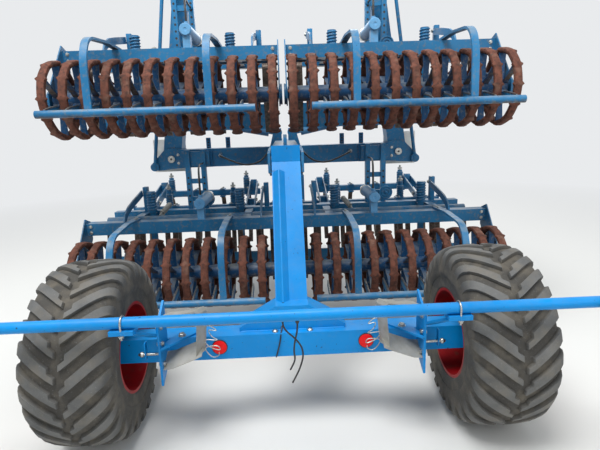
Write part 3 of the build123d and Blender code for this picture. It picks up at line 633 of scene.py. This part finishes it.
# Light bar: a painted tube with a black lamp housing on each end and red and amber lenses set in
# their rear faces. The two glands for the cables are pressed into its underside.
def add_block(bm, low, high, edge, finish=0):
    """A block between two corners with broken edges."""
    low, high = Vector(low), Vector(high)
    made = bmesh.ops.create_cube(bm, size=1.0)["verts"]
    for vertex in made:
        vertex.co = (low + high) / 2 + Vector(a * b for a, b in zip(vertex.co, high - low))
    edges = list({e for vertex in made for e in vertex.link_edges})
    broken = bmesh.ops.bevel(bm, geom=edges, offset=edge, segments=2, affect="EDGES", profile=0.5)
    for face in {f for vertex in broken["verts"] for f in vertex.link_faces}:
        face.material_index = finish


def lens_plastic(name, hex_colour):
    """Moulded acrylic: smooth and bright in colour, with a pattern of small cells behind the face and a
    faint painted glow in its own colour.
    """
    material, tree, shader = new_material(name, 0.3)
    shader.inputs["Specular IOR Level"].default_value = 0.25
    cells = add_node(tree, "ShaderNodeTexVoronoi", {"Scale": 1000.0 / 6})
    place = add_node(tree, "ShaderNodeTexCoord")
    tree.links.new(place.outputs["Object"], cells.inputs["Vector"])
    dim = times(tree, cells.outputs["Distance"], 0.3)
    shade = blend_colours(tree, dim, hex_colour, "#8c0508")
    tree.links.new(shade, shader.inputs["Base Color"])
    # A faint glow in the lens's own colour: painted light, since neither the reflector nor the unlit lamp
    # shines.
    shader.inputs["Emission Strength"].default_value = 0.12
    tree.links.new(shade, shader.inputs["Emission Color"])
    add_bump(tree, shader, cells.outputs["Distance"], 0.4, 0.6)
    return material


def black_plastic():
    """Moulded ABS: black, fine-grained and half matt."""
    material, tree, shader = new_material("black moulded plastic", 0.5)
    grain = noise_mask(tree, 20, 0.3, 0.7)
    colour = blend_colours(tree, grain, "#17181a", "#2a2b2c")
    tree.links.new(colour, shader.inputs["Base Color"])
    add_bump(tree, shader, noise_mask(tree, 1.5, 0.3, 0.7), 0.2, 0.2)
    return material


red_lens = lens_plastic("red reflector lens", "#d80a10")
amber_lens = lens_plastic("amber lamp lens", "#e0701a")
# This black plastic also fills holes as black discs: painted shade inside the holes.
black_plastic_and_hole_shade = black_plastic()
bar_half = bar_high[0]
lamp_front, lamp_rear = bar_low[1] + 0.058, bar_low[1]
lamp_length = 0.200
lens_join = 0.075
lens_rim = 0.008
lens_half = 0.042
bm = bmesh.new()
add_turned(bm, [(-bar_half + 0.002, bar_radius - 0.002), (-bar_half + 0.004, bar_radius),
                (bar_half - 0.004, bar_radius), (bar_half - 0.002, bar_radius - 0.002)],
           (0, bar_y, bar_z), (1, 0, 0), 32)
for route in cable_routes.values():
    x, ahead, _ = route[0]
    gland = [(0, 0.006), (0.006, 0.008), (0.012, 0.008)]
    add_turned(bm, gland, (x, bar_y + ahead, gland_z), (0, 0, 1), 16, 1)
for _, sign in sides:
    x0, x1 = sorted((sign * (bar_half - lamp_length), sign * bar_half))
    add_block(bm, (x0, lamp_rear + 0.006, bar_z - 0.05), (x1, lamp_front, bar_z + 0.05), 0.006, 1)
    for inner, outer, finish in ((lamp_length - lens_rim, lens_join, 2), (lens_join, lens_rim, 3)):
        x0, x1 = sorted((sign * (bar_half - inner), sign * (bar_half - outer)))
        add_block(bm, (x0 + 0.001, lamp_rear, bar_z - lens_half),
                  (x1 - 0.001, lamp_rear + 0.012, bar_z + lens_half), 0.003, finish)
mesh_piece("light_bar_skin", bm, [frame_paint, black_plastic_and_hole_shade, red_lens, amber_lens], "running_gear",
           ("light_bar",))


# Light bar mounts: on each side a zinc U-bolt clamps the bar to its pad, three bolts hold the upright
# plate, and a stud with a coned nut locks it. Beside it stand a galvanised folded sheet and a wire clip,
# and a round reflector sits on the axle beam.
def add_bolt(bm, place, axis, across=0.018, height=0.009, finish=0):
    """A hexagon head on its washer."""
    washer = height * 0.25
    add_turned(bm, [(-0.001, across * 0.72), (washer, across * 0.72)], place, axis, 16, finish)
    add_turned(bm, [(washer, across * 0.56), (height * 0.85, across * 0.56), (height, across * 0.46)],
               place, axis, 6, finish)


def add_box(bm, centre, size, edge):
    """A block by its middle and its full size, for pieces that are mirrored."""
    centre, half = Vector(centre), Vector(size) / 2
    add_block(bm, centre - half, centre + half, edge)


def add_folded_sheet(bm, path, depth, thickness):
    """A strip that follows a path, as deep as the depth vector and as thick as the sheet."""
    depth = Vector(depth)
    rows = []
    for i, place in enumerate(path):
        before, after = Vector(path[max(i - 1, 0)]), Vector(path[min(i + 1, len(path) - 1)])
        off = (after - before).cross(depth).normalized() * thickness / 2
        place = Vector(place)
        rows.append([place - off, place + off, place + depth + off, place + depth - off])
    add_capped(bm, rows)


pad_x = 0.658
u_rod = 0.004
u_bend = 0.027
u_angles = [math.radians(degrees) for degrees in range(0, 181, 15)]
plate_x = 0.600
plate_wall = 0.010
plate_y = -1.420
stud_z = 0.470
axle_top = axle_high[2]
axle_rear = axle_low[1]
for side, sign in sides:
    leg_foot = bar_z - 0.060
    arc = [(sign * pad_x, bar_y + u_bend * math.cos(angle), bar_z + u_bend * math.sin(angle))
           for angle in u_angles]
    legs = [(sign * pad_x, bar_y + u_bend, leg_foot), *arc, (sign * pad_x, bar_y - u_bend, leg_foot)]
    link_piece(add_tube(f"u_bolt_{side}", legs, u_rod, zinc_plate, 2), "running_gear")
    bm = bmesh.new()
    for face in (-1, 1):
        add_bolt(bm, (sign * pad_x, bar_y + face * u_bend, bar_z - 0.041), (0, 0, -1), 0.016, 0.011)
    for z in (0.42, 0.52, 0.60):
        add_bolt(bm, (sign * plate_x, plate_y, z), (-sign, 0, 0), 0.019, 0.010)
        add_bolt(bm, (sign * (plate_x + plate_wall), plate_y, z), (sign, 0, 0), 0.019, 0.012)
    add_bolt(bm, (sign * 0.531, -1.32, axle_top + 0.010), (0, 0, 1), 0.026, 0.014)
    stud_foot = (sign * (plate_x + plate_wall), plate_y, stud_z)
    nut_foot = (sign * (plate_x + 0.088), plate_y, stud_z)
    add_turned(bm, [(0, 0.006), (0.080, 0.006)], stud_foot, (sign, 0, 0), 12)
    add_turned(bm, [(0, 0.011), (0.010, 0.013), (0.024, 0.004)], nut_foot, (sign, 0, 0), 16)
    dome = [(0, 0.015), (0.005, 0.0145), (0.010, 0.010), (0.012, 0.004)]
    add_turned(bm, dome, (sign * 0.085, -1.300, axle_top), (0, 0, 1), 20)
    mesh_piece(f"bracket_bolts_{side}", bm, [zinc_plate], "running_gear")
    bm = bmesh.new()
    add_box(bm, (sign * 0.677, plate_y + 0.001, 0.4875), (0.006, 0.030, 0.085), 0.002)
    mesh_piece(f"stud_lug_{side}", bm, [frame_paint], "running_gear")
    bm = bmesh.new()
    web = [(0.448, 0.452), (0.442, 0.520), (0.434, 0.600), (0.430, 0.655), (0.440, 0.672),
           (0.525, 0.655), (0.600, 0.652)]
    add_folded_sheet(bm, [(sign * x, -1.430, z) for x, z in web], (-sign * 0.034, 0.062, 0), 0.0025)
    tray = [(0.600, 0.398), (0.560, 0.402), (0.450, 0.444), (0.420, 0.458)]
    add_folded_sheet(bm, [(sign * x, -1.440, z) for x, z in tray], (0, 0.095, 0.045), 0.0025)
    mesh_piece(f"holder_sheet_{side}", bm, [galvanised], "running_gear", sharp_degrees=20)
    wire = [(0.432, 0.600), (0.375, 0.572), (0.350, 0.548), (0.398, 0.560), (0.380, 0.520),
            (0.345, 0.500), (0.425, 0.512), (0.395, 0.468), (0.342, 0.448), (0.352, 0.478),
            (0.425, 0.470), (0.385, 0.412), (0.350, 0.424), (0.352, 0.446)]
    turns = []
    for (x0, z0), (x1, z1) in zip(wire, wire[1:]):
        for share in (0.22, 0.78):
            turns.append((sign * (x0 + (x1 - x0) * share), -1.375, z0 + (z1 - z0) * share))
    link_piece(add_tube(f"wire_clip_{side}", turns, 0.0024, zinc_plate), "running_gear")
    bm = bmesh.new()
    spot = (sign * 0.355, axle_rear + 0.001, 0.442)
    rim = [(0, 0.038), (0.005, 0.038), (0.006, 0.036)]
    lens = [(0.002, 0.0355), (0.008, 0.034), (0.0115, 0.024), (0.0125, 0.010)]
    add_turned(bm, rim, spot, (0, -1, 0), 40, 1)
    add_turned(bm, lens, spot, (0, -1, 0), 40)
    mesh_piece(f"reflector_{side}", bm, [red_lens, black_plastic_and_hole_shade], "running_gear")


# Column: a black cable leaves the folded cover's lower end, is clipped to the column's rear face and goes
# over the axle. Weld beads run along the gussets and the upright plates.
column_foot = Vector((0, -1.285, axle_top))
column_run = Vector((0, 0.480, 0.783))
column_off = Vector((0, -0.853, 0.523))


def on_column(x, share, off):
    """A place on the column's rear face, by its share of the way up to the hinge."""
    return column_foot + Vector((x, 0, 0)) + column_run * share + column_off * off


cable = [on_column(-0.042, 0.140, 0.004), on_column(-0.044, 0.10, 0.004), on_column(-0.050, 0.03, 0.006),
         Vector((-0.054, -1.300, axle_top + 0.006)), Vector((-0.056, axle_rear + 0.012, axle_top + 0.005)),
         Vector((-0.058, axle_rear - 0.004, axle_top - 0.012)), Vector((-0.066, axle_rear - 0.004, 0.440)),
         Vector((-0.082, axle_rear - 0.004, 0.385)), Vector((-0.085, axle_rear + 0.006, 0.372))]
link_piece(add_tube("column_cable", cable, 0.0034, black_rubber), "running_gear")
cover_x = -0.042
cover_low, cover_high = 0.142, 0.934
bm = bmesh.new()
rows = []
for share in (cover_low, cover_high):
    foot = on_column(cover_x, share, 0.0005)
    rows.append([foot + Vector((-0.032, 0, 0)), foot + column_off * 0.027 + Vector((-0.003, 0, 0)),
                 foot + column_off * 0.027 + Vector((0.003, 0, 0)), foot + Vector((0.032, 0, 0))])
add_capped(bm, rows)
mesh_piece("cover_sheet", bm, [frame_paint], "running_gear", sharp_degrees=15)
bm = bmesh.new()
rows = []
for share in (cover_low - 0.016, cover_low - 0.001):
    foot = on_column(cover_x, share, 0.001)
    rows.append([foot + Vector((-0.038, 0, 0)), foot + column_off * 0.031, foot + Vector((0.038, 0, 0))])
add_capped(bm, rows)
for share in (0.045, 0.10):
    place = on_column(-0.044, share, 0)
    add_turned(bm, [(-0.006, 0.0058), (0.006, 0.0058)], place + column_off * 0.004, column_run, 12)
mesh_piece("cable_cap", bm, [black_plastic_and_hole_shade], "running_gear", sharp_degrees=20)


weld_radius = 0.004
weld_lap = 0.007


def add_weld(name, start, end):
    """A painted weld bead whose width ripples like the real one's laps."""
    start, end = Vector(start), Vector(end)
    laps = int((end - start).length / weld_lap)
    profile = [(i * weld_lap, weld_radius * (1.0 + 0.18 * (i % 2))) for i in range(laps + 1)]
    bm = bmesh.new()
    add_turned(bm, profile, start, end - start, 8)
    mesh_piece(name, bm, [frame_paint], "running_gear", sharp_degrees=60)


for side, sign in sides:
    add_weld(f"gusset_weld_{side}", (sign * 0.03, column_foot.y, axle_top),
             (sign * 0.258, column_foot.y, axle_top))
    add_weld(f"plate_weld_{side}", (sign * 0.599, axle_rear, 0.395), (sign * 0.599, axle_rear, 0.494))


# Frame: worn pin ends with their keeper bolts at the wing ears, perforated uprights on the cross beam's
# front face, swaged unions on the beam hoses, and a lifting lug on the spine. Holes show as black discs of
# painted shade.
ear_rear = cross_rear - 0.015
pin_x = joint_places["wing_fold_right"][0]
bm = bmesh.new()
for side, sign in sides:
    pin = (sign * pin_x, ear_rear - 0.011, cross_z)
    add_turned(bm, [(0, 0.030), (0.005, 0.030), (0.007, 0.028)], pin, (0, -1, 0), 32)
    # A black disc of painted shade marks the hole in each pin's end.
    add_turned(bm, [(0.006, 0.009), (0.0075, 0.009)], pin, (0, -1, 0), 20, 2)
    for rise in (0.035, -0.035):
        add_bolt(bm, (sign * (pin_x - 0.055), ear_rear, cross_z + rise), (0, -1, 0), 0.016, 0.008)
    for x, _, rise in (beam_hose_route[0], beam_hose_route[-1]):
        port = (sign * x, cross_rear - 0.001, cross_z + rise)
        add_turned(bm, [(0, 0.018), (hose_port - 0.002, 0.018)], port, (0, -1, 0), 6)
        add_turned(bm, [(hose_port, 0.0095), (hose_port + 0.003, 0.0118), (hose_port + 0.030, 0.0118),
                        (hose_port + 0.032, 0.0095)], port, (0, -1, 0), 20)
    for x in (0.50, 0.67):
        low = (sign * x - 0.020, cross_y + cross_half, cross_z - 0.035)
        high = (sign * x + 0.020, cross_y + cross_half + 0.008, cross_z + 0.165)
        add_block(bm, low, high, 0.0015, 1)
        # Each perforation is a black disc of painted shade on both faces.
        for k in range(8):
            for face, y in ((-1, low[1]), (1, high[1])):
                place = (sign * x, y - face * 0.0002, cross_z - 0.020 + 0.024 * k)
                add_turned(bm, [(0, 0.0075), (0.0006, 0.007)], place, (0, face, 0), 14, 2)
add_block(bm, (-0.011, -0.520, 1.359), (0.011, -0.440, 1.425), 0.004, 1)
mesh_piece("frame_fittings", bm, [zinc_plate, module_paint, black_plastic_and_hole_shade], "chassis")


# Module fittings: bolts on the scraper arms and beams, worn steel edges on the scraper blades, coil springs
# round the board's posts, holes in the mast with a turned locking disc at its foot, and the levelling
# cylinder's cap, gland, chromed rod and unions.
scraper_arm_places = (-0.32, 0.37)
blade_count = 10
first_blade = -0.5
# Points of a blade's worn edge: ahead of the scraper tube, below the roller's axis.
blade_edge = ((0.010, 0.071), (0.060, 0.058), (0.172, 0.040))
rear_beam_y = -0.04
rear_beam_half = 0.044
end_plate_place = 0.69
scraper_y = -0.635
board_post_y = 0.345
spring_place = 0.36
spring_radius = 0.036
spring_foot, spring_length = 0.048, 0.152
spring_turns = 7
steps_per_turn = 12
mast_tops = {"inner": 1.16, "outer": 2.60}
mast_leg = 0.065
first_hole = 0.10
hole_pitch = 0.05
disc = ((0, 0.056), (0.012, 0.056), (0.013, 0.047), (0.006, 0.045), (0.006, 0.036), (0.014, 0.034),
        (0.014, 0.024), (0.008, 0.022), (0.008, 0.013), (0.028, 0.012), (0.031, 0.008))
for side, sign in sides:
    for level in ("inner", "outer"):
        body = module_bodies[level][side]
        roller_z = joint_places[f"{level}_roller_spin_{side}"][2]
        beam_z = roller_z + beam_rise
        bm = bmesh.new()
        for x in scraper_arm_places:
            for y in (rear_beam_y - 0.026, rear_beam_y + 0.012):
                place = (sign * (module_x + x), y, beam_z + rear_beam_half + 0.016)
                add_bolt(bm, place, (0, 0, 1), 0.017, 0.009)
        for x in (-end_plate_place, end_plate_place):
            for rise in (-0.022, 0.022):
                place = (sign * (module_x + x), rear_beam_y - rear_beam_half, beam_z + rise)
                add_bolt(bm, place, (0, -1, 0), 0.017, 0.008)
        for i in range(blade_count):
            x = sign * (module_x + first_blade + i * ring_pitch) - 0.005
            edge = [(x, scraper_y + ahead, roller_z - drop) for ahead, drop in blade_edge]
            add_folded_sheet(bm, edge, (0.010, 0, 0), 0.008)
        port_x, _, port_rise = module_hose_route[0]
        end_x, end_back, end_rise = module_hose_route[-1]
        cylinder = (sign * (module_x + end_x), rear_beam_y - 0.040, beam_z + 0.16)
        cap = [(0, 0.040), (0.006, 0.040), (0.010, 0.036), (0.010, 0.012), (0.007, 0.009)]
        add_turned(bm, cap, cylinder, (0, -1, 0), 32, 2)
        collar = (cylinder[0], rear_beam_y + 0.310, cylinder[2])
        add_turned(bm, [(0, 0.0435), (0.002, 0.047), (0.026, 0.047), (0.028, 0.030)], collar, (0, 1, 0), 32)
        add_turned(bm, [(0.020, 0.0226), (0.160, 0.0226)], collar, (0, 1, 0), 24, 1)
        mast_port = (sign * (module_x + port_x), mast_y, beam_z + port_rise)
        add_turned(bm, [(0, 0.012), (0.014, 0.012)], mast_port, (0, -1, 0), 6)
        cylinder_port = (cylinder[0], mast_y - hose_port - end_back, beam_z + end_rise - 0.0185)
        add_turned(bm, [(0, 0.013), (0.014, 0.013)], cylinder_port, (0, 0, 1), 6)
        add_turned(bm, disc, (sign * module_x + 0.085, mast_y, beam_z + 0.118), (0, -1, 0), 32, 3)
        mesh_piece(f"{level}_fittings_{side}", bm, [zinc_plate, rod_chrome, cylinder_paint, module_paint],
                   body)
        for word, place in (("near", -spring_place), ("far", spring_place)):
            coil = []
            for i in range(spring_turns * steps_per_turn + 1):
                turn = math.tau * i / steps_per_turn
                rise = spring_foot + spring_length * i / (spring_turns * steps_per_turn)
                coil.append((sign * (module_x + place) + spring_radius * math.cos(turn),
                             board_post_y + spring_radius * math.sin(turn), beam_z + rise))
            spring = add_tube(f"{level}_coil_{word}_{side}", coil, 0.006, module_paint)
            link_piece(spring, body)
        # The mast's holes are black discs: painted shade inside each hole.
        bm = bmesh.new()
        for k in range(int((mast_tops[level] - beam_z - first_hole) / hole_pitch)):
            for x in (-mast_leg, mast_leg):
                place = (sign * (module_x + x), mast_y, beam_z + first_hole + hole_pitch * k)
                add_turned(bm, [(-0.0002, 0.009), (0.0006, 0.0085)], place, (0, -1, 0), 14)
        mesh_piece(f"{level}_mast_holes_{side}", bm, [black_plastic_and_hole_shade], body)


# Levelling arms: on each module two flat arms climb from the rear beam to posts on the front beam, each
# bolted at both ends. A grey sleeve on a slanting rod stands between them on the middle tube.
levelling_arm_places = (-0.55, 0.45)
arm_wall = 0.012
sleeve = ((0, 0.016), (0.001, 0.021), (0.118, 0.021), (0.119, 0.016))
arm_line = ((-0.060, 0.052), (-0.030, 0.105), (0.050, 0.142), (0.180, 0.172), (0.405, 0.215))
for side, sign in sides:
    for level in ("inner", "outer"):
        beam_z = joint_places[f"{level}_roller_spin_{side}"][2] + beam_rise
        bm = bmesh.new()
        for place in levelling_arm_places:
            x = sign * (module_x + place) - arm_wall / 2
            path = [(x, y, beam_z + rise - 0.025) for y, rise in arm_line]
            add_folded_sheet(bm, path, (arm_wall, 0, 0), 0.050)
            add_block(bm, (x + arm_wall, mast_y - 0.030, beam_z + 0.030),
                      (x + arm_wall + 0.040, mast_y + 0.020, beam_z + 0.240), 0.004)
            for y, rise in (arm_line[0], arm_line[-1]):
                add_bolt(bm, (x, y + 0.012, beam_z + rise - 0.018), (-1, 0, 0), 0.022, 0.011, 1)
        sleeve_foot = Vector((sign * module_x - 0.25, 0.217, beam_z + 0.051))
        sleeve_axis = Vector((-sign * 0.35, 0.80, 0.42)).normalized()
        add_turned(bm, sleeve, sleeve_foot, sleeve_axis, 20, 2)
        add_turned(bm, [(-0.040, 0.009), (0.135, 0.009)], sleeve_foot, sleeve_axis, 12, 1)
        mesh_piece(f"{level}_levelling_arms_{side}", bm, [module_paint, zinc_plate, galvanised],
                   module_bodies[level][side])


# Front tine gang of each lower module: flat arms bolted to the front beam climb forward and carry a near
# tube and a raised far tube, with sprung tines clamped under both. Adjuster posts stand on the two tubes.
near_tube_y, far_tube_y = 0.675, 1.050
gang_tubes = (("near", near_tube_y), ("far", far_tube_y))
far_tube_rise = 0.085
gang_tube = 0.056
gang_tube_end = 0.612
gang_arm_places = (-0.43, 0.43)
gang_tine_places = {"near": (-0.50, -0.25, 0.0, 0.25, 0.50), "far": (-0.375, -0.125, 0.125, 0.375)}
# Points of an arm: its place along the machine, above the module's beams.
gang_arm_line = ((0.500, -0.010), (0.560, 0.030), (0.680, 0.065), (0.860, 0.110), (1.030, 0.150),
                 (1.085, 0.152))
# Points of a tine: ahead of its clamp, above it.
tine_line = ((0.000, 0.000), (0.030, -0.020), (0.050, -0.080), (0.048, -0.170), (0.026, -0.270),
             (-0.012, -0.370), (-0.060, -0.445))


def add_adjuster(bm, foot, height):
    """A post whose stacked collars set the depth, with a hand nut on its thread."""
    profile = [(0, 0.034), (0.010, 0.034)]
    for i in range(6):
        profile += [(0.014 + 0.016 * i, 0.025), (0.018 + 0.016 * i, 0.031), (0.026 + 0.016 * i, 0.031)]
    profile += [(0.115, 0.022), (height, 0.022)]
    add_turned(bm, profile, foot, (0, 0, 1), 20)
    top = Vector(foot) + Vector((0, 0, height))
    add_turned(bm, [(0, 0.010), (0.045, 0.010)], top, (0, 0, 1), 12, 1)
    add_turned(bm, [(0.008, 0.022), (0.024, 0.022)], top, (0, 0, 1), 6, 1)


for side, sign in sides:
    beam_z = joint_places[f"inner_roller_spin_{side}"][2] + beam_rise
    heights = {"near": beam_z, "far": beam_z + far_tube_rise}
    middle = sign * module_x
    bm = bmesh.new()
    add_box(bm, (middle, near_tube_y, heights["near"]), (1.22, gang_tube, gang_tube), 0.006)
    add_box(bm, (middle, far_tube_y, heights["far"]), (0.98, gang_tube, gang_tube), 0.006)
    for end in (-gang_tube_end, gang_tube_end):
        add_box(bm, (middle + end, near_tube_y, heights["near"]), (0.006, 0.080, 0.080), 0.001)
    for place in gang_arm_places:
        x = middle + place
        for face in (-0.034, 0.034):
            line = [(x + face - 0.005, y, beam_z + rise) for y, rise in gang_arm_line]
            add_folded_sheet(bm, line, (0.010, 0, 0), 0.062)
        add_box(bm, (x, 0.492, beam_z), (0.090, 0.030, 0.080), 0.003)
        add_box(bm, (x, far_tube_y, beam_z + 0.125), (0.056, 0.052, 0.150), 0.004)
        add_box(bm, (x, near_tube_y, beam_z + 0.045), (0.056, 0.050, 0.050), 0.004)
        for y, rise in ((0.520, 0.005), (near_tube_y, 0.062), (far_tube_y, 0.150)):
            for face in (-1, 1):
                add_bolt(bm, (x + face * 0.039, y, beam_z + rise), (face, 0, 0), 0.026, 0.014, 1)
    for place in (-0.30, 0.27):
        add_adjuster(bm, (middle + place, near_tube_y, beam_z + 0.027), 0.150)
    for place in (-0.36, 0.36):
        add_adjuster(bm, (middle + place, far_tube_y, heights["far"] + 0.027), 0.130)
    for tube, y in gang_tubes:
        for place in gang_tine_places[tube]:
            x = middle + place
            add_box(bm, (x, y, heights[tube] + 0.032), (0.050, 0.090, 0.010), 0.002)
            add_box(bm, (x, y, heights[tube] - 0.034), (0.050, 0.090, 0.012), 0.002)
            for face in (-0.038, 0.038):
                add_bolt(bm, (x, y + face, heights[tube] + 0.037), (0, 0, 1), 0.018, 0.012, 1)
    mesh_piece(f"inner_front_gang_{side}", bm, [module_paint, zinc_plate], "chassis")
    bm = bmesh.new()
    for tube, y in gang_tubes:
        for place in gang_tine_places[tube]:
            foot = heights[tube] - 0.044
            line = [(middle + place - 0.020, y + ahead, foot + drop) for ahead, drop in tine_line]
            add_folded_sheet(bm, line, (0.040, 0, 0), 0.012)
    mesh_piece(f"inner_front_tines_{side}", bm, [tine_steel], "chassis")
